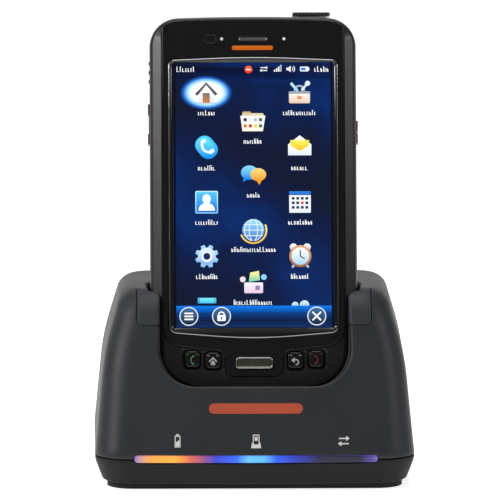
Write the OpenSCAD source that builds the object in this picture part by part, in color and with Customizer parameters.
// Rugged handheld personal digital assistant standing in its charging dock.
// Frame: +Z up, origin at the middle of the dock's footprint on the table, -Y towards the user.
// Handset pieces are drawn in the handset's own frame: X across, Y from the front face to the back,
// Z up its length from the bottom edge. on_handset() leans that frame back into the dock.

/* [Handset] */
// Width of the handset
hs_w = 73; // [68:0.5:90]
// Length of the handset from bottom edge to top edge
hs_l = 134; // [130:0.5:165]
// Lean of the handset away from upright
tilt = 15; // [12:0.5:18]
// Wall of the handset's two shells
hs_wall = 1.8; // [1.4:0.1:2.2]
// Depth of the front shell's front wall, down to its inner face
front_wall = 2.6; // [2.4:0.1:3.4]
// Depth of the parting plane between the two shells
split_y = 8.6; // [8.4:0.1:9.4]
// Radius of the top corners
top_r = 10; // [8:0.5:12]
// Radius of the bottom corners
bottom_r = 14; // [10:0.5:16]
// Rise of the top edge at its middle
top_crown = 0.9; // [0.3:0.1:2]
// Height that the front plate stands proud of the front shell
plate_proud = 0.35; // [0.2:0.05:0.5]
// Thickness of the gloss front plate
plate_t = 1; // [0.8:0.1:1.4]
// Width of the side bevel beside the front plate
bevel_w = 4.5; // [3:0.1:6]
// Depth of the side bevel
bevel_d = 3.4; // [2.4:0.1:4.5]

/* [Screen] */
// Width of the screen's active area
screen_w = 56.2; // [50:0.1:58]
// Height of the screen's active area
screen_h = 93.6; // [86:0.1:94]
// Height of the screen's centre above the handset's bottom edge
screen_z = 70; // [69:0.1:74]
// Width of the raised rim beside the screen
rim_w = 1.65; // [1.2:0.05:2]
// Height of the rim's crown over the screen
rim_top_rise = 1.3; // [0.5:0.1:2]
// Depth of the rim's bow under the screen
rim_bottom_rise = 2.5; // [1:0.1:3]
// Height that the rim stands proud of the front plate
rim_proud = 0.5; // [0.2:0.1:0.8]
// Thickness of the touch lens
lens_t = 1.1; // [0.8:0.1:1.3]

/* [Keys] */
// Width of a small key
key_w = 5.4; // [4.5:0.1:5.8]
// Height of a small key
key_h = 6; // [5:0.1:6.6]
// Distance of the outer keys from the middle
key_outer_x = 21.8; // [20.5:0.1:23]
// Distance of the inner keys from the middle
key_inner_x = 14.5; // [13.6:0.1:14.6]
// Width of the scan key
scan_w = 13.2; // [11:0.1:14]
// Height of the scan key
scan_h = 4.2; // [3.4:0.1:4.6]
// Height that the keys stand proud of the front plate
key_proud = 0.7; // [0.5:0.1:1]
// Travel of the keys, the power key and the triggers
key_travel = 0.4; // [0.3:0.05:0.5]
// Length of the left trigger
trigger_left_l = 14.2; // [10:0.1:18]
// Length of the right trigger
trigger_right_l = 8; // [6:0.1:12]
// Length of the volume rocker
rocker_l = 9; // [7:0.1:11]

/* [Battery] */
// Width of a battery pack
bat_w = 50; // [42:0.5:52]
// Length of a battery pack
bat_l = 56; // [44:0.5:58]
// Thickness of a battery pack
bat_t = 5.2; // [4.3:0.1:6.4]
// Thickness of the battery door
door_t = 1.5; // [1.2:0.1:1.8]

/* [Dock] */
// Height of the handset's front bottom edge above the table
seat_h = 31.6; // [31:0.2:40]
// Height of the dock's top above that edge
grip_h = 35; // [26:0.2:36]
// Depth of the dock from front to back
dock_d = 92; // [91:0.5:112]
// Distance from the dock's front to the handset's front bottom edge
seat_front = 18; // [17:0.2:20]
// Width of each dock shoulder at its base, outside the handset
shoulder_w = 20.4; // [19:0.2:26]
// Width that each shoulder loses between its base and its top
shoulder_taper = 9.5; // [7:0.1:11]
// Wall of the dock's housings
dock_wall = 2.4; // [2:0.1:3]
// Height of the seam between the dock's two housings
seam_z = 11; // [10:0.1:12]
// Height of the rubber pad under the dock
pad_h = 2; // [1.5:0.1:2.5]
// Length of the light bar
bar_l = 85; // [70:1:86]
// Height of the light bar
bar_h = 2.5; // [2:0.1:3]
// Distance by which each lip overlaps the handset's side
lip_overlap = 3.6; // [3:0.1:5]
// Height of the front lip above the handset's bottom edge
lip_h = 0.8; // [0.5:0.1:3]
// Radius of the front opening's bottom corners
mouth_r = 14; // [8:0.5:16]
// Width of the dock plug
plug_w = 20; // [16:0.5:22]

/* [Clearances] */
// Gap round the handset in its pocket, and round the spare battery in its well
pocket_gap = 0.5; // [0.4:0.05:0.8]
// Gap round a key or trigger in its hole
key_gap = 0.25; // [0.2:0.01:0.35]
// Gap round a battery pack in the handset and round the battery door
door_gap = 0.2; // [0.15:0.01:0.3]
// Gap round a piece that is held still
fit_gap = 0.1; // [0.05:0.01:0.15]

/* [Hidden] */
$fn = 48;
arc_steps = 8;
far = 300;

// Handset stack, measured from the front plate's face
face_w = hs_w - 2 * bevel_w;
lens_y = 0.15;
display_back = 6;
frame_y = [display_back, display_back + 1];
board_y = [frame_y[1] + 0.3, frame_y[1] + 1.3];
bay_floor = [board_y[1] + 1.9, board_y[1] + 2.9];
bay_y = [bay_floor[1], bay_floor[1] + bat_t + 0.3];
hs_t = bay_y[1] + door_t;
keypad_y = [front_wall + 2.4, front_wall + 3.2];
side_y = 8.6;

// Handset heights
key_z = 11.9;
scan_z = 10.5;
tongue = [10.2, 6, 14.7];
ear_z = hs_l - 8.5;
lamp_x = 11;
sensor_x = -15.1;
boss_top_z = hs_l - 10;
boss_low_z = 15;
boss_x = hs_w / 2 - 5.2;
grip_z = place_back_z(seat_h + grip_h);
door_z = [grip_z + 6, grip_z + 6 + bat_l + 10];
bay_z = [door_z[0] + 3, door_z[0] + 3 + bat_l + 0.4];
trigger_left_z = hs_l - 38;
trigger_right_z = hs_l - 41;
rocker_z = hs_l - 19.5;
power_x = [hs_w / 2 - 22.4, hs_w / 2 - 9];
power_y = [5.6, 11.6];
imager_x = [-20, 1];
camera_x = 13;
flash_x = 22;
eye_z = hs_l - 12.5;
plug_y = 9.2;
socket_z = 7;

// Dock places
hs_y = seat_front - dock_d / 2;
dock_h = seat_h + grip_h;
dock_hw = hs_w / 2 + shoulder_w;
mouth_w = hs_w - 2 * lip_overlap;
pocket_floor = -0.3;
floor_t = 2.5;
block_wall = 2.2;
well_y = [hs_t + 9, hs_t + 9 + bat_t];
well_floor = place_z(well_y[0], dock_h) - 30;
tray_top = pad_h + 2.4;
dock_board_z = [10, 11.6];
dock_board_x = hs_w / 2 + 3.5;
dock_board_y = [-dock_d / 2 + 22, dock_d / 2 - 8];
boss = [dock_hw - 10.9, dock_d / 2 - 16];
jack_x = 24;
jack_z = dock_board_z[1] + 4.4;
bar_z = [seam_z - 1.1, seam_z - 1.1 + bar_h];

// World point, as [y, z], of a point of the handset's frame
function place(y, z) = [
    hs_y + y * cos(tilt) + z * sin(tilt),
    seat_h - y * sin(tilt) + z * cos(tilt)
];
// Height in the handset's frame at which depth y reaches world height h
function place_z(y, h) = (h - seat_h + y * sin(tilt)) / cos(tilt);
function place_back_z(h) = place_z(hs_t, h);

function unit(v) = v / norm(v);
function cross2(u, v) = u[0] * v[1] - u[1] * v[0];
function wrap(p, i) = p[(i + len(p)) % len(p)];
// Radius that turns a straight edge of length w into a shallow arch of the given rise
function arch_r(w, rise) = w * w / (8 * rise);
function fillet(a, b, c, r) = let (
    u = unit(a - b),
    v = unit(c - b),
    half = acos(u * v) / 2,
    centre = b + unit(u + v) * r / sin(half),
    spoke = b + u * r / tan(half) - centre,
    start = atan2(spoke[1], spoke[0]),
    sweep = sign(cross2(b - a, c - b)) * (180 - 2 * half)
) r <= 0 ? [b] : [
    for (i = [0 : arc_steps])
        centre + r * [cos(start + sweep * i / arc_steps), sin(start + sweep * i / arc_steps)]
];
// Outline with each corner rounded to its own radius
function rounded(p, r) = [
    for (i = [0 : len(p) - 1])
        each fillet(wrap(p, i - 1), p[i], wrap(p, i + 1), r[i])
];
// Corner that lies d inside both of its edges
function inner_corner(a, b, c, d) = let (
    u = unit(b - a),
    v = unit(c - b)
) b + d * (v - u) / cross2(u, v);
function inset(p, d) = [
    for (i = [0 : len(p) - 1])
        inner_corner(wrap(p, i - 1), p[i], wrap(p, i + 1), d)
];
function shell_outline(p, r, d) = rounded(inset(p, d), [for (q = r) max(q - d, 0.2)]);
function rect(w, h) = [[-w / 2, -h / 2], [w / 2, -h / 2], [w / 2, h / 2], [-w / 2, h / 2]];

module on_handset() {
    translate([0, hs_y, seat_h])
        rotate([-tilt, 0, 0])
            children();
}

module block(low, high) {
    translate(low)
        cube(high - low);
}

// Outline in X and Z, extruded along Y
module front_prism(y, points) {
    translate([0, y[1], 0])
        rotate([90, 0, 0])
            linear_extrude(y[1] - y[0])
                polygon(points);
}

// Outline in Y and Z, extruded along X
module side_prism(x, points) {
    rotate([90, 0, 90])
        translate([0, 0, x[0]])
            linear_extrude(x[1] - x[0])
                polygon(points);
}

// Rounded plate facing Y
module panel(x, z, w, h, r, y) {
    translate([x, 0, z])
        front_prism(y, rounded(rect(w, h), [r, r, r, r]));
}

module rod_y(x, z, r, y) {
    translate([x, y[0], z])
        rotate([-90, 0, 0])
            cylinder(h = y[1] - y[0], r = r);
}

module mirrored() {
    children();
    mirror([1, 0, 0])
        children();
}

// ---- Handset outlines ----

module handset_form(d) {
    crown = arch_r(hs_w, top_crown);
    intersection() {
        front_prism([-far, far], shell_outline(
            [[-hs_w / 2, 0], [hs_w / 2, 0], [hs_w / 2, hs_l - top_crown],
             [0, hs_l], [-hs_w / 2, hs_l - top_crown]],
            [bottom_r, bottom_r, top_r, crown, top_r], d));
        translate([0, 0, -far])
            linear_extrude(2 * far)
                polygon(shell_outline(
                    [[-face_w / 2, plate_proud], [face_w / 2, plate_proud],
                     [hs_w / 2, bevel_d], [hs_w / 2, hs_t], [-hs_w / 2, hs_t],
                     [-hs_w / 2, bevel_d]],
                    [0.6, 0.6, 1.2, 4.5, 4.5, 1.2], d));
        side_prism([-far, far], shell_outline(
            [[plate_proud, 1.6], [2, 0], [hs_t, 0], [hs_t, hs_l], [2.4, hs_l],
             [plate_proud, hs_l - 1.4]],
            [0.6, 0.8, 4, 4.5, 0.8, 0.6], d));
    }
}

module plate_form(y, d) {
    t = tongue[0];
    sag = 2.4;
    intersection() {
        front_prism(y, shell_outline(
            [[-t, tongue[1]], [t, tongue[1]], [t, tongue[2]], [face_w / 2, tongue[2] + sag],
             [face_w / 2, hs_l + 9], [-face_w / 2, hs_l + 9], [-face_w / 2, tongue[2] + sag],
             [-t, tongue[2]]],
            [3.2, 3.2, 2.5, 5, 0, 0, 5, 2.5], d));
        front_prism([y[0] - 1, y[1] + 1], shell_outline(
            [[-hs_w / 2, 0], [hs_w / 2, 0], [hs_w / 2, hs_l - top_crown],
             [0, hs_l], [-hs_w / 2, hs_l - top_crown]],
            [bottom_r, bottom_r, top_r, arch_r(hs_w, top_crown), top_r], 1.5 + d));
    }
}

module rim_form(y, d) {
    w = screen_w / 2 + 0.2 + rim_w;
    low = screen_z - screen_h / 2 - 1.6;
    high = screen_z + screen_h / 2 + 1.2;
    front_prism(y, shell_outline(
        [[-w, low], [0, low - rim_bottom_rise], [w, low], [w, high],
         [0, high + rim_top_rise], [-w, high]],
        [3, arch_r(2 * w, rim_bottom_rise), 3, 2.4, arch_r(2 * w, rim_top_rise), 2.4], d));
}

module lens_form(y, gap) {
    panel(0, screen_z, screen_w + 0.4 + 2 * gap, screen_h + 0.4 + 2 * gap, 0.8, y);
}

// Columns that the four case screws run through
module boss_columns(r, y) {
    mirrored() {
        rod_y(boss_x, boss_low_z, r, y);
        rod_y(boss_x, boss_top_z, r, y);
    }
}

module key_holes(gap, y) {
    for (x = [-key_outer_x, key_outer_x])
        panel(x, key_z, key_w + 2 * gap, key_h + 2 * gap, 1.2, y);
    for (x = [-key_inner_x, key_inner_x])
        panel(x, key_z - 0.5, key_w + 2 * gap, key_h + 2 * gap, 1.2, y);
}

module scan_hole(gap, y) {
    panel(0, scan_z, scan_w + 2 * gap, scan_h + 2 * gap, 1.4, y);
}

module lamp_holes(gap, y) {
    mirrored()
        rod_y(lamp_x, ear_z, 0.5 + gap, y);
}

// Side cut for a trigger or the rocker; side is -1 on the left and 1 on the right
module side_slot(side, z, length, width) {
    block(
        [side > 0 ? hs_w / 2 - hs_wall - 1 : -hs_w / 2 - 2,
         side_y - width / 2 - key_gap, z - length / 2 - key_gap],
        [side > 0 ? hs_w / 2 + 2 : -hs_w / 2 + hs_wall + 1,
         side_y + width / 2 + key_gap, z + length / 2 + key_gap]
    );
}

module side_slots() {
    side_slot(-1, trigger_left_z, trigger_left_l, 5);
    side_slot(1, trigger_right_z, trigger_right_l, 5);
    side_slot(-1, rocker_z, rocker_l + 0.4, 4.4);
}

module top_cuts() {
    block(
        [power_x[0] - 0.5, power_y[0] - 0.9, hs_l - 1.6],
        [power_x[1] - 1.4, power_y[1] + 0.9, hs_l + 2]
    );
    block(
        [power_x[0] + 2 - key_gap, power_y[0] + 1.5 - key_gap, hs_l - 6],
        [power_x[1] - 4 + key_gap, power_y[1] - 1.5 + key_gap, hs_l]
    );
}

module imager_cut(gap) {
    block(
        [imager_x[0] + 1.5 - gap, split_y + 0.9 - gap, hs_l - hs_wall - 0.4],
        [imager_x[1] - 1.5 + gap, split_y + 6.1 + gap, hs_l + 2]
    );
}

module socket_cut(gap) {
    block(
        [-plug_w / 2 - 2 - gap, plug_y - 3.4 - gap, -2],
        [plug_w / 2 + 2 + gap, plug_y + 3.4 + gap, socket_z + gap]
    );
}

module seal_ring(y, outer, inner) {
    difference() {
        intersection() {
            handset_form(outer);
            block([-far, y[0], -far], [far, y[1], far]);
        }
        handset_form(inner);
        side_slots();
        top_cuts();
        imager_cut(0.6);
        socket_cut(0.6);
    }
}

// ---- Handset pieces ----

module front_housing() {
    color([0.10, 0.11, 0.11])
        on_handset()
            difference() {
                union() {
                    difference() {
                        intersection() {
                            handset_form(0);
                            block([-far, -far, -far], [far, split_y, far]);
                        }
                        intersection() {
                            handset_form(hs_wall);
                            block([-far, front_wall, -far], [far, far, far]);
                        }
                    }
                    boss_columns(2.4, [front_wall - 0.2, split_y]);
                }
                plate_form([-2, plate_t], 0);
                lens_form([-2, front_wall + 1], fit_gap);
                key_holes(key_gap, [-2, front_wall + 1]);
                scan_hole(key_gap, [-2, front_wall + 1]);
                lamp_holes(fit_gap, [-2, front_wall + 1]);
                panel(0, ear_z, 10, 1.1, 0.5, [-2, front_wall + 1]);
                rod_y(-4, 3.4, 0.4, [-2, front_wall + 1]);
                boss_columns(1.05, [front_wall + 0.6, split_y + 1]);
                seal_ring([split_y - 0.4, split_y + 0.4], 0.6, 1.3);
                side_slots();
                top_cuts();
                socket_cut(fit_gap);
            }
}

module front_plate() {
    color([0.02, 0.02, 0.025])
        on_handset()
            difference() {
                plate_form([0, plate_t], 0.05);
                rim_form([-2, plate_t + 1], -0.05);
                scan_hole(key_gap, [-2, plate_t + 1]);
                lamp_holes(fit_gap, [-2, plate_t + 1]);
                panel(0, ear_z, 10, 1.1, 0.5, [-2, plate_t + 1]);
                panel(sensor_x, ear_z, 3.9 + 2 * fit_gap, 2.4 + 2 * fit_gap, 0.6, [-2, 2]);
            }
}

module screen_rim() {
    color([0.03, 0.03, 0.035])
        on_handset()
            difference() {
                rim_form([-rim_proud, plate_t], 0);
                lens_form([-2, plate_t + 1], fit_gap / 2);
            }
}

module touch_lens() {
    color([0.05, 0.12, 0.35])
        on_handset()
            lens_form([lens_y, lens_y + lens_t], 0);
}

module display_module() {
    flange = min(1.6, hs_w / 2 - hs_wall - screen_w / 2 - 1.2);
    color([0.55, 0.56, 0.58])
        on_handset() {
            panel(0, screen_z, screen_w + 0.2, screen_h + 0.2, 0.6, [lens_y + lens_t, front_wall]);
            panel(0, screen_z, screen_w + 2 * flange, screen_h + 2.6, 1, [front_wall, display_back]);
        }
}

module mid_frame() {
    color([0.62, 0.62, 0.60])
        on_handset()
            difference() {
                union() {
                    panel(0, hs_l / 2 + 1, hs_w - 2 * hs_wall - 2.4, hs_l - 18, 6, frame_y);
                    for (x = [-0.3, 0.3])
                        block([x * hs_w - 0.6, frame_y[1], 26], [x * hs_w + 0.6, board_y[0], hs_l - 20]);
                }
                boss_columns(2.7, [0, hs_t]);
                for (z = [0.3, 0.5, 0.7])
                    panel(0, z * hs_l, 24, 14, 3, [0, hs_t]);
                block([-hs_w, 0, trigger_left_z - 9], [-hs_w / 2 + 5, hs_t, rocker_z + 6]);
                block([hs_w / 2 - 5, 0, trigger_right_z - 6], [hs_w, hs_t, trigger_right_z + 6]);
            }
}

module main_board() {
    color([0.05, 0.30, 0.16])
        on_handset()
            difference() {
                union() {
                    panel(0, hs_l / 2 + 0.5, hs_w - 2 * hs_wall - 6.4, hs_l - 18, 4, board_y);
                    block(
                        [-hs_w / 2 + 4.2, board_y[0], trigger_left_z - 2],
                        [-hs_w / 2 + 8, board_y[1], trigger_left_z + 2]
                    );
                    block(
                        [hs_w / 2 - 8, board_y[0], trigger_right_z - 2],
                        [hs_w / 2 - 4.2, board_y[1], trigger_right_z + 2]
                    );
                    for (z = [22, 29, 36])
                        block([-24, board_y[1], z], [-20, board_y[1] + 1.1, z + 4]);
                }
                boss_columns(2.7, [0, hs_t]);
                block([-far, 0, -far], [far, hs_t, socket_z + 0.6]);
            }
}

module shield_cans() {
    color([0.72, 0.73, 0.74])
        on_handset() {
            panel(-11, hs_l * 0.42, 20, 26, 1, [board_y[1], board_y[1] + 1.5]);
            panel(13, hs_l * 0.40, 18, 20, 1, [board_y[1], board_y[1] + 1.5]);
            panel(0, hs_l * 0.66, 34, 22, 1, [board_y[1], board_y[1] + 1.5]);
        }
}

module keypad_board() {
    color([0.10, 0.32, 0.20])
        on_handset() {
            panel(0, key_z + 1, 2 * key_outer_x + 8, 10.4, 1, keypad_y);
            for (x = [-key_outer_x, -key_inner_x, 0, key_inner_x, key_outer_x])
                rod_y(x, x == 0 ? scan_z : key_z, 1.9, [keypad_y[0] - 0.4, keypad_y[0]]);
        }
}

// Cap, flange and plunger of a key on the front
module front_key(x, z, w, h, r) {
    panel(x, z, w, h, r, [-key_proud, front_wall + 0.6]);
    panel(x, z, w + 1.2, h + 1.2, r, [front_wall + 0.15, front_wall + 0.8]);
    rod_y(x, z, 1, [front_wall + 0.8, keypad_y[0] - 0.4 - key_travel - 0.1]);
}

module key_send() {
    color([0.05, 0.07, 0.05])
        on_handset()
            front_key(-key_outer_x, key_z, key_w, key_h, 1.2);
}

module key_home() {
    color([0.06, 0.06, 0.06])
        on_handset()
            front_key(-key_inner_x, key_z - 0.5, key_w, key_h, 1.2);
}

module key_back() {
    color([0.06, 0.06, 0.06])
        on_handset()
            front_key(key_inner_x, key_z - 0.5, key_w, key_h, 1.2);
}

module key_end() {
    color([0.07, 0.05, 0.05])
        on_handset()
            front_key(key_outer_x, key_z, key_w, key_h, 1.2);
}

module scan_key() {
    color([0.70, 0.71, 0.68])
        on_handset()
            front_key(0, scan_z, scan_w, scan_h, 1.4);
}

module earpiece_mesh() {
    color([0.35, 0.35, 0.36])
        on_handset()
            panel(0, ear_z, 9.9, 1, 0.45, [0.35, 0.75]);
}

module earpiece_receiver() {
    color([0.25, 0.25, 0.26])
        on_handset()
            panel(0, ear_z, 14, 5.6, 1.2, [front_wall, front_wall + 2.8]);
}

module status_lights() {
    color([0.9, 0.92, 0.95])
        on_handset()
            mirrored() {
                rod_y(lamp_x, ear_z, 0.5, [0.05, front_wall]);
                rod_y(lamp_x, ear_z, 1.1, [front_wall, front_wall + 1.2]);
            }
}

module sensor_window() {
    color([0.10, 0.02, 0.03])
        on_handset()
            panel(sensor_x, ear_z, 3.9, 2.4, 0.5, [0.1, plate_t]);
}

module imager_engine() {
    color([0.16, 0.17, 0.20])
        on_handset()
            difference() {
                block([imager_x[0], split_y + 0.7, hs_l - 16], [imager_x[1], split_y + 6.3, hs_l - 4]);
                translate([imager_x[0] + 6, split_y + 3.5, hs_l - 7])
                    cylinder(h = 4, r = 2.1);
                translate([imager_x[1] - 5, split_y + 3.5, hs_l - 7])
                    cylinder(h = 4, r = 1.6);
            }
}

module imager_window() {
    color([0.25, 0.05, 0.06])
        on_handset()
            intersection() {
                imager_cut(-fit_gap);
                handset_form(0.3);
            }
}

module camera_module() {
    color([0.12, 0.12, 0.13])
        on_handset() {
            panel(camera_x, eye_z, 9, 9, 1, [board_y[1] + 0.3, hs_t - 4.6]);
            rod_y(camera_x, eye_z, 3.4, [hs_t - 4.6, hs_t - 2]);
        }
}

module camera_window() {
    color([0.05, 0.06, 0.09])
        on_handset()
            rod_y(camera_x, eye_z, 4, [hs_t - 1.6, hs_t - 0.4]);
}

module flash_lens() {
    color([0.95, 0.93, 0.80])
        on_handset()
            rod_y(flash_x, eye_z, 1.9, [hs_t - 3, hs_t - 0.3]);
}

module rear_speaker() {
    color([0.20, 0.20, 0.21])
        on_handset()
            difference() {
                rod_y(16, 30, 7.4, [hs_t - 5.6, hs_t - hs_wall]);
                rod_y(16, 30, 5.6, [hs_t - 2.6, hs_t]);
            }
}

module microphone() {
    color([0.75, 0.72, 0.55])
        on_handset()
            rod_y(-4, 3.4, 1.5, [front_wall, front_wall + 1.3]);
}

module vibration_motor() {
    color([0.65, 0.65, 0.66])
        on_handset()
            translate([-22, hs_t - 5.2, 27]) {
                rotate([0, 90, 0])
                    cylinder(h = 9, r = 2.2);
                translate([9.4, 0, 0])
                    rotate([0, 90, 0])
                        cylinder(h = 2.6, r = 1.8);
                translate([8.9, 0, 0])
                    rotate([0, 90, 0])
                        cylinder(h = 0.6, r = 0.6);
            }
}

module io_connector() {
    color([0.20, 0.20, 0.22])
        on_handset()
            difference() {
                block(
                    [-plug_w / 2 - 2, plug_y - 3.4, 0.4],
                    [plug_w / 2 + 2, plug_y + 3.4, socket_z]
                );
                block(
                    [-plug_w / 2 - 0.4, plug_y - 2.3, -1],
                    [plug_w / 2 + 0.4, plug_y + 2.3, socket_z - 1.4]
                );
            }
}

module rear_housing() {
    color([0.09, 0.10, 0.10])
        on_handset()
            difference() {
                union() {
                    difference() {
                        intersection() {
                            handset_form(0);
                            block([-far, split_y, -far], [far, far, far]);
                        }
                        intersection() {
                            handset_form(hs_wall);
                            block([-far, -far, -far], [far, hs_t - hs_wall, far]);
                        }
                    }
                    boss_columns(2.6, [split_y, hs_t - 1]);
                    block(
                        [-bat_w / 2 - 1.4, bay_floor[0], bay_z[0] - 1.2],
                        [bat_w / 2 + 1.4, hs_t - 0.5, bay_z[1] + 1.2]
                    );
                }
                block(
                    [-bat_w / 2 - door_gap, bay_y[0], bay_z[0]],
                    [bat_w / 2 + door_gap, far, bay_z[1]]
                );
                door_form([bay_y[1] - 0.1, far], -door_gap);
                boss_columns(1.15, [split_y - 1, far]);
                boss_columns(2.1, [hs_t - 2.4, far]);
                rod_y(camera_x, eye_z, 3.6, [0, far]);
                rod_y(camera_x, eye_z, 4 + fit_gap, [hs_t - 1.6, far]);
                rod_y(flash_x, eye_z, 1.9 + fit_gap, [0, far]);
                for (i = [-2 : 2])
                    panel(16, 30 + 2 * i, 8, 0.9, 0.4, [hs_t - 3, far]);
                seal_ring([split_y - 0.4, split_y + 0.4], 0.6, 1.3);
                side_slots();
                top_cuts();
                imager_cut(0);
                socket_cut(fit_gap);
            }
}

module housing_seal() {
    color([0.55, 0.12, 0.10])
        on_handset()
            seal_ring([split_y - 0.35, split_y + 0.35], 0.65, 1.25);
}

// Label face, rounded case and contact pads of a battery pack, standing on z
module battery(x, y, z) {
    difference() {
        translate([x, 0, z + bat_l / 2])
            panel(0, 0, bat_w, bat_l, 2, [y, y + bat_t]);
        for (i = [-1.5 : 1.5])
            block([x + 4 * i - 1.3, y + 1.4, z - 1], [x + 4 * i + 1.3, y + 3.8, z + 0.3]);
    }
}

module battery_pack() {
    color([0.16, 0.16, 0.18])
        on_handset()
            battery(0, bay_y[0] + 0.1, bay_z[0] + 0.2);
}

module power_key_bezel() {
    color([0.42, 0.43, 0.43])
        on_handset()
            difference() {
                block(
                    [power_x[0] - 0.4, power_y[0] - 0.8, hs_l - 1.6],
                    [power_x[1] - 1.5, power_y[1] + 0.8, hs_l + 0.1]
                );
                block(
                    [power_x[0] + 2 - key_gap, power_y[0] + 1.5 - key_gap, hs_l - 9],
                    [power_x[1] - 4 + key_gap, power_y[1] - 1.5 + key_gap, hs_l + 9]
                );
            }
}

module power_key() {
    ribs = 6;
    pitch = (power_x[1] - power_x[0]) / ribs;
    color([0.08, 0.08, 0.08])
        on_handset()
            difference() {
                union() {
                    block(
                        [power_x[0], power_y[0], hs_l + 0.55],
                        [power_x[1], power_y[1], hs_l + 1.9]
                    );
                    block(
                        [power_x[0] + 2, power_y[0] + 1.5, hs_l - 3],
                        [power_x[1] - 4, power_y[1] - 1.5, hs_l + 1]
                    );
                    block(
                        [power_x[0] + 1, power_y[0] + 0.8, hs_l - 4.2],
                        [power_x[1] - 3.4, power_y[1] - 0.8, hs_l - 3]
                    );
                }
                for (i = [1 : ribs - 1])
                    block(
                        [power_x[0] + i * pitch - 0.3, 0, hs_l + 1.5],
                        [power_x[0] + i * pitch + 0.3, far, far]
                    );
            }
}

module handset_screws() {
    color([0.35, 0.35, 0.36])
        on_handset()
            difference() {
                union() {
                    boss_columns(1, [front_wall + 1.6, hs_t - 2]);
                    boss_columns(1.9, [hs_t - 2.4, hs_t - 1]);
                }
                boss_columns(0.7, [hs_t - 1.7, hs_t]);
            }
}

// Trigger in a side wall; side is -1 on the left and 1 on the right
module trigger(side, z, length) {
    s = side > 0 ? 0 : 1;
    mirror([s, 0, 0])
        difference() {
            union() {
                block(
                    [hs_w / 2 - hs_wall - 0.6, side_y - 2.5, z - length / 2],
                    [hs_w / 2 + 0.6, side_y + 2.5, z + length / 2]
                );
                block(
                    [hs_w / 2 - hs_wall - 1.1, side_y - 3.3, z - length / 2 - 0.8],
                    [hs_w / 2 - hs_wall - 0.3, side_y + 3.3, z + length / 2 + 0.8]
                );
            }
            block(
                [hs_w / 2 + 0.3, 0, z - length / 2 + 3.6],
                [far, hs_t, z + length / 2 - 3.6]
            );
        }
}

module trigger_left() {
    color([0.33, 0.05, 0.06])
        on_handset()
            trigger(-1, trigger_left_z, trigger_left_l);
}

module trigger_right() {
    color([0.33, 0.05, 0.06])
        on_handset()
            trigger(1, trigger_right_z, trigger_right_l);
}

module volume_rocker() {
    x = -hs_w / 2;
    color([0.10, 0.10, 0.10])
        on_handset()
            union() {
                block(
                    [x + 0.2, side_y - 2.2, rocker_z - rocker_l / 2],
                    [x + hs_wall + 0.6, side_y + 2.2, rocker_z + rocker_l / 2]
                );
                for (i = [-1 : 1])
                    translate([x + 0.2, side_y - 2.2, rocker_z + i * rocker_l * 0.36])
                        rotate([-90, 0, 0])
                            cylinder(h = 4.4, r = 0.6);
                block(
                    [x + hs_wall + 0.45, side_y - 3, rocker_z - rocker_l / 2 + 0.6],
                    [x + hs_wall + 1.2, side_y + 3, rocker_z + rocker_l / 2 - 0.6]
                );
            }
}

module door_form(y, d) {
    h = door_z[1] - door_z[0];
    panel(0, (door_z[0] + door_z[1]) / 2, bat_w + 7 - 2 * d, h - 2 * d, 4, y);
}

module battery_door() {
    color([0.09, 0.10, 0.10])
        on_handset()
            difference() {
                door_form([bay_y[1], hs_t], 0);
                translate([0, 0, -1.5])
                    panel(0, door_z[1] - 5, 9.4, 8, 1, [hs_t - 0.9, far]);
            }
}

module door_latch() {
    color([0.30, 0.30, 0.31])
        on_handset()
            difference() {
                panel(0, door_z[1] - 5.1, 8.8, 4.6, 0.8, [hs_t - 0.8, hs_t + 0.4]);
                for (i = [-1 : 1])
                    panel(0, door_z[1] - 5.1 + 1.2 * i, 6, 0.5, 0.2, [hs_t + 0.1, far]);
            }
}

// ---- Dock outlines ----

module dock_form(d) {
    bow = 1.5;
    flare = 1.2;
    w = dock_hw;
    y = dock_d / 2;
    top_w = w - shoulder_taper;
    waist = dock_h - 22;
    intersection() {
        side_prism([-far, far], shell_outline(
            [[-y + 2.5, pad_h], [y - 2.5, pad_h], [y, seam_z + 1], [y - 14, dock_h],
             [-y + seat_front + grip_h * tan(tilt) - 2.8, dock_h], [-y, seam_z + 1]],
            [2, 2, 7, 10, 7, 7], d));
        front_prism([-far, far], shell_outline(
            [[-w + 3.7, pad_h], [w - 3.7, pad_h], [w, seam_z - 1], [w - 3.5, waist],
             [top_w, dock_h], [-top_w, dock_h], [-w + 3.5, waist], [-w, seam_z - 1]],
            [2.5, 2.5, 12, 90, 6, 6, 90, 12], d));
        linear_extrude(far)
            polygon(shell_outline(
                [[-w + flare, -y + bow], [0, -y], [w - flare, -y + bow],
                 [w, y - bow], [0, y], [-w, y - bow]],
                [14, arch_r(2 * w, bow), 14, 14, arch_r(2 * w, bow), 14], d));
    }
}

module pocket() {
    on_handset()
        intersection() {
            handset_form(-pocket_gap);
            block([-far, -far, pocket_floor], [far, far, far]);
        }
}

module well(gap, low) {
    block(
        [-bat_w / 2 - gap, well_y[0] - gap, low],
        [bat_w / 2 + gap, well_y[1] + gap, far]
    );
}

// Front opening between the lips, drawn in the handset's frame
module mouth() {
    front_prism([-far, hs_t / 2], rounded(
        [[-mouth_w / 2, lip_h], [mouth_w / 2, lip_h], [mouth_w / 2, far], [-mouth_w / 2, far]],
        [mouth_r, mouth_r, 0, 0]));
}

// Corner of a lip that holds a soft insert; side is -1 on the left and 1 on the right
module insert_zone(side) {
    mirror([side > 0 ? 0 : 1, 0, 0])
        on_handset()
            block(
                [mouth_w / 2, -20, grip_z - 17.5],
                [mouth_w / 2 + 8.2, 2, far]
            );
}

module bar_zone() {
    block([-bar_l / 2, -far, bar_z[0]], [bar_l / 2, -dock_d / 2 + 4.4, bar_z[1]]);
}

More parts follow.
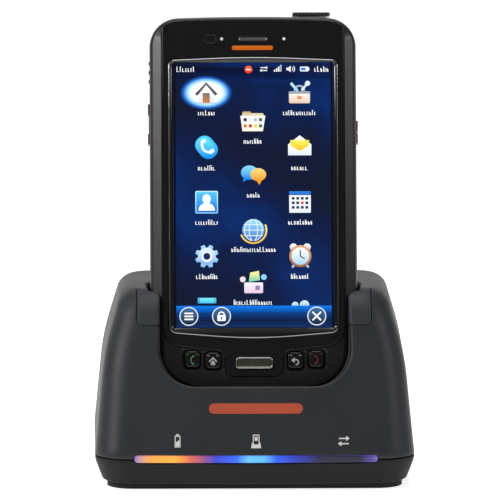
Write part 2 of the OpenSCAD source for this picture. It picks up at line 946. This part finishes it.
module screw_posts(r, z) {
    for (x = [-1, 1])
        for (y = [-1, 1])
            translate([x * boss[0], y * boss[1], z[0]])
                cylinder(h = z[1] - z[0], r = r);
}

// Ribs from the upper screw posts to the side walls
module post_ribs() {
    for (y = [-1, 1])
        mirrored()
            block([boss[0], y * boss[1] - 1, seam_z], [far, y * boss[1] + 1, seam_z + 12]);
}

module board_posts(r, z) {
    for (x = [-1, 1])
        for (y = [dock_board_y[0] + 4, dock_board_y[1] - 10])
            translate([x * (dock_board_x - 3.4), y, z[0]])
                cylinder(h = z[1] - z[0], r = r);
}

module contact_pins(r, z) {
    for (i = [-1.5 : 1.5])
        translate([4 * i, (well_y[0] + well_y[1]) / 2, z[0]])
            cylinder(h = z[1] - z[0], r = r);
}

// ---- Dock pieces ----

module dock_upper_housing() {
    color([0.20, 0.21, 0.22])
        difference() {
            union() {
                difference() {
                    intersection() {
                        dock_form(0);
                        block([-far, -far, seam_z], [far, far, far]);
                    }
                    intersection() {
                        dock_form(dock_wall);
                        block([-far, -far, 0], [far, far, dock_h - dock_wall]);
                    }
                }
                intersection() {
                    dock_form(0);
                    on_handset()
                        union() {
                            intersection() {
                                handset_form(-pocket_gap - block_wall);
                                block([-far, -far, pocket_floor - floor_t], [far, far, far]);
                            }
                            well(pocket_gap + block_wall, well_floor - floor_t);
                        }
                }
                screw_posts(3.6, [seam_z, seam_z + 12]);
                intersection() {
                    dock_form(dock_wall / 2);
                    post_ribs();
                }
            }
            pocket();
            on_handset() {
                well(pocket_gap, well_floor);
                mouth();
                block(
                    [-plug_w / 2 - 0.4, plug_y - 2.2, -far / 4],
                    [plug_w / 2 + 0.4, plug_y + 2.2, 1]
                );
                contact_pins(0.8, [well_floor - floor_t - 1, well_floor + 1]);
            }
            insert_zone(-1);
            insert_zone(1);
            bar_zone();
            screw_posts(1.35, [seam_z - 1, seam_z + 9]);
            rod_y(-jack_x, jack_z, 4 + fit_gap, [dock_d / 2 - 8, far]);
            block(
                [jack_x - 4.1, dock_d / 2 - 8, jack_z - 2.3],
                [jack_x + 4.1, far, jack_z + 2.3]
            );
        }
}

module dock_lower_housing() {
    color([0.17, 0.18, 0.19])
        difference() {
            union() {
                difference() {
                    intersection() {
                        dock_form(0);
                        block([-far, -far, 0], [far, far, seam_z]);
                    }
                    intersection() {
                        dock_form(dock_wall);
                        block([-far, -far, tray_top], [far, far, far]);
                    }
                }
                screw_posts(3.6, [tray_top, seam_z]);
                board_posts(2.6, [tray_top, dock_board_z[0]]);
                for (x = [-34, 34])
                    block(
                        [x - 2, -dock_d / 2 + 7.6, tray_top],
                        [x + 2, -dock_d / 2 + 9.6, seam_z + 1.5]
                    );
            }
            bar_zone();
            screw_posts(1.5, [0, seam_z + 1]);
            screw_posts(2.9, [0, tray_top]);
            board_posts(1, [tray_top + 1, far]);
        }
}

module base_pad() {
    w = dock_hw;
    y = dock_d / 2;
    color([0.05, 0.05, 0.05])
        difference() {
            linear_extrude(pad_h)
                polygon(shell_outline(rect(2 * w, 2 * y), [14, 14, 14, 14], 5.2));
            translate([0, 0, -1])
                linear_extrude(pad_h + 2)
                    polygon(shell_outline(rect(2 * w, 2 * y), [18, 18, 18, 18], 14.5));
        }
}

module light_bar() {
    color([0.55, 0.45, 0.85])
        intersection() {
            dock_form(0);
            bar_zone();
        }
}

module led_board() {
    y = -dock_d / 2 + 6.4;
    color([0.08, 0.30, 0.20])
        union() {
            block([-38, y, tray_top + 2], [38, y + 1.2, seam_z + 4]);
            for (x = [-27, 0, 31])
                block([x - 2.5, y - 1.2, bar_z[0] + 0.1], [x + 2.5, y + 0.1, bar_z[1] - 0.1]);
        }
}

module dock_board() {
    color([0.05, 0.30, 0.16])
        difference() {
            union() {
                block(
                    [-dock_board_x, dock_board_y[0], dock_board_z[0]],
                    [dock_board_x, dock_board_y[1], dock_board_z[1]]
                );
                block([-16, 2, dock_board_z[1]], [-2, 16, dock_board_z[1] + 1.6]);
                block([6, 4, dock_board_z[1]], [13, 14, dock_board_z[1] + 1.2]);
                for (x = [-28, 20])
                    translate([x, 10, dock_board_z[1]])
                        cylinder(h = 7, r = 3.2);
            }
            board_posts(1.2, [0, far]);
        }
}

module connector_board() {
    color([0.05, 0.30, 0.16])
        on_handset()
            block(
                [-plug_w / 2 - 9, plug_y - 6, pocket_floor - floor_t - 3.2],
                [plug_w / 2 + 9, plug_y + 6, pocket_floor - floor_t - 2]
            );
}

module dock_connector() {
    top = 4.2;
    color([0.30, 0.30, 0.32])
        on_handset()
            union() {
                block([-plug_w / 2, plug_y - 1.7, pocket_floor - floor_t - 1], [plug_w / 2, plug_y + 1.7, top]);
                block(
                    [-plug_w / 2 - 3, plug_y - 4, pocket_floor - floor_t - 2],
                    [plug_w / 2 + 3, plug_y + 4, pocket_floor - floor_t]
                );
                for (i = [-4.5 : 4.5])
                    block(
                        [i * 1.8 - 0.5, plug_y - 1.85, 0.6],
                        [i * 1.8 + 0.5, plug_y + 1.85, top - 0.4]
                    );
            }
}

module flex_cable() {
    under = pocket_floor - floor_t - 3.2;
    a = place(plug_y + 4.4, under);
    b = place(plug_y + 4.9, under);
    color([0.75, 0.55, 0.20])
        side_prism([-7, 7], [[a[0], dock_board_z[1]], [b[0], dock_board_z[1]], b, a]);
}

module soft_insert(side) {
    difference() {
        intersection() {
            dock_form(0.2);
            insert_zone(side);
        }
        pocket();
    }
}

module insert_left() {
    color([0.13, 0.13, 0.14])
        soft_insert(-1);
}

module insert_right() {
    color([0.13, 0.13, 0.14])
        soft_insert(1);
}

module ballast_plate() {
    color([0.55, 0.56, 0.58])
        difference() {
            block(
                [-dock_board_x + 8, dock_board_y[0] - 2, tray_top],
                [dock_board_x - 8, dock_board_y[1] - 4, tray_top + 4]
            );
            for (x = [-18, 18])
                translate([x, 5, 0])
                    cylinder(h = far, r = 4);
        }
}

module power_jack() {
    y = dock_d / 2;
    color([0.07, 0.07, 0.08])
        union() {
            difference() {
                union() {
                    block(
                        [-jack_x - 4.5, y - 16, dock_board_z[1]],
                        [-jack_x + 4.5, y - 5.4, jack_z + 4.2]
                    );
                    rod_y(-jack_x, jack_z, 4, [y - 6, y - 0.9]);
                }
                rod_y(-jack_x, jack_z, 2.8, [y - 12, y]);
            }
            rod_y(-jack_x, jack_z, 1, [y - 13, y - 2]);
        }
}

module usb_port() {
    y = dock_d / 2;
    color([0.70, 0.71, 0.72])
        union() {
            difference() {
                block([jack_x - 4, y - 12, jack_z - 2.2], [jack_x + 4, y - 1.4, jack_z + 2.2]);
                block([jack_x - 3.5, y - 9, jack_z - 1.7], [jack_x + 3.5, y, jack_z + 1.7]);
            }
            block([jack_x - 2.4, y - 10, jack_z - 0.4], [jack_x + 2.4, y - 2.6, jack_z + 0.4]);
            block([jack_x - 3, y - 12, dock_board_z[1]], [jack_x + 3, y - 9, jack_z - 2]);
        }
}

module charge_contacts() {
    mid = (well_y[0] + well_y[1]) / 2;
    color([0.80, 0.66, 0.25])
        on_handset()
            union() {
                block([-10, mid - 2.6, well_floor - floor_t - 3], [10, mid + 2.6, well_floor - floor_t]);
                contact_pins(0.6, [well_floor - floor_t - 1, well_floor + 0.1]);
            }
}

module spare_battery() {
    color([0.16, 0.16, 0.18])
        on_handset()
            battery(0, well_y[0], well_floor + 0.2);
}

module dock_screws() {
    color([0.35, 0.35, 0.36])
        difference() {
            union() {
                screw_posts(1.3, [pad_h + 1, seam_z + 7]);
                screw_posts(2.6, [pad_h + 0.5, tray_top]);
            }
            screw_posts(0.9, [0, pad_h + 1.3]);
        }
}

module board_screws() {
    color([0.75, 0.75, 0.74])
        union() {
            board_posts(0.95, [tray_top + 1.2, dock_board_z[1] + 1]);
            board_posts(2, [dock_board_z[1], dock_board_z[1] + 1.2]);
        }
}

front_housing();
front_plate();
screen_rim();
touch_lens();
display_module();
mid_frame();
main_board();
shield_cans();
keypad_board();
earpiece_mesh();
earpiece_receiver();
status_lights();
sensor_window();
imager_engine();
imager_window();
camera_module();
camera_window();
flash_lens();
rear_speaker();
microphone();
vibration_motor();
io_connector();
rear_housing();
housing_seal();
battery_pack();
power_key_bezel();
handset_screws();
key_send();
key_home();
key_back();
key_end();
scan_key();
power_key();
volume_rocker();
trigger_left();
trigger_right();
battery_door();
door_latch();
dock_upper_housing();
dock_lower_housing();
base_pad();
light_bar();
led_board();
dock_board();
connector_board();
dock_connector();
flex_cable();
insert_left();
insert_right();
ballast_plate();
power_jack();
usb_port();
charge_contacts();
spare_battery();
dock_screws();
board_screws();
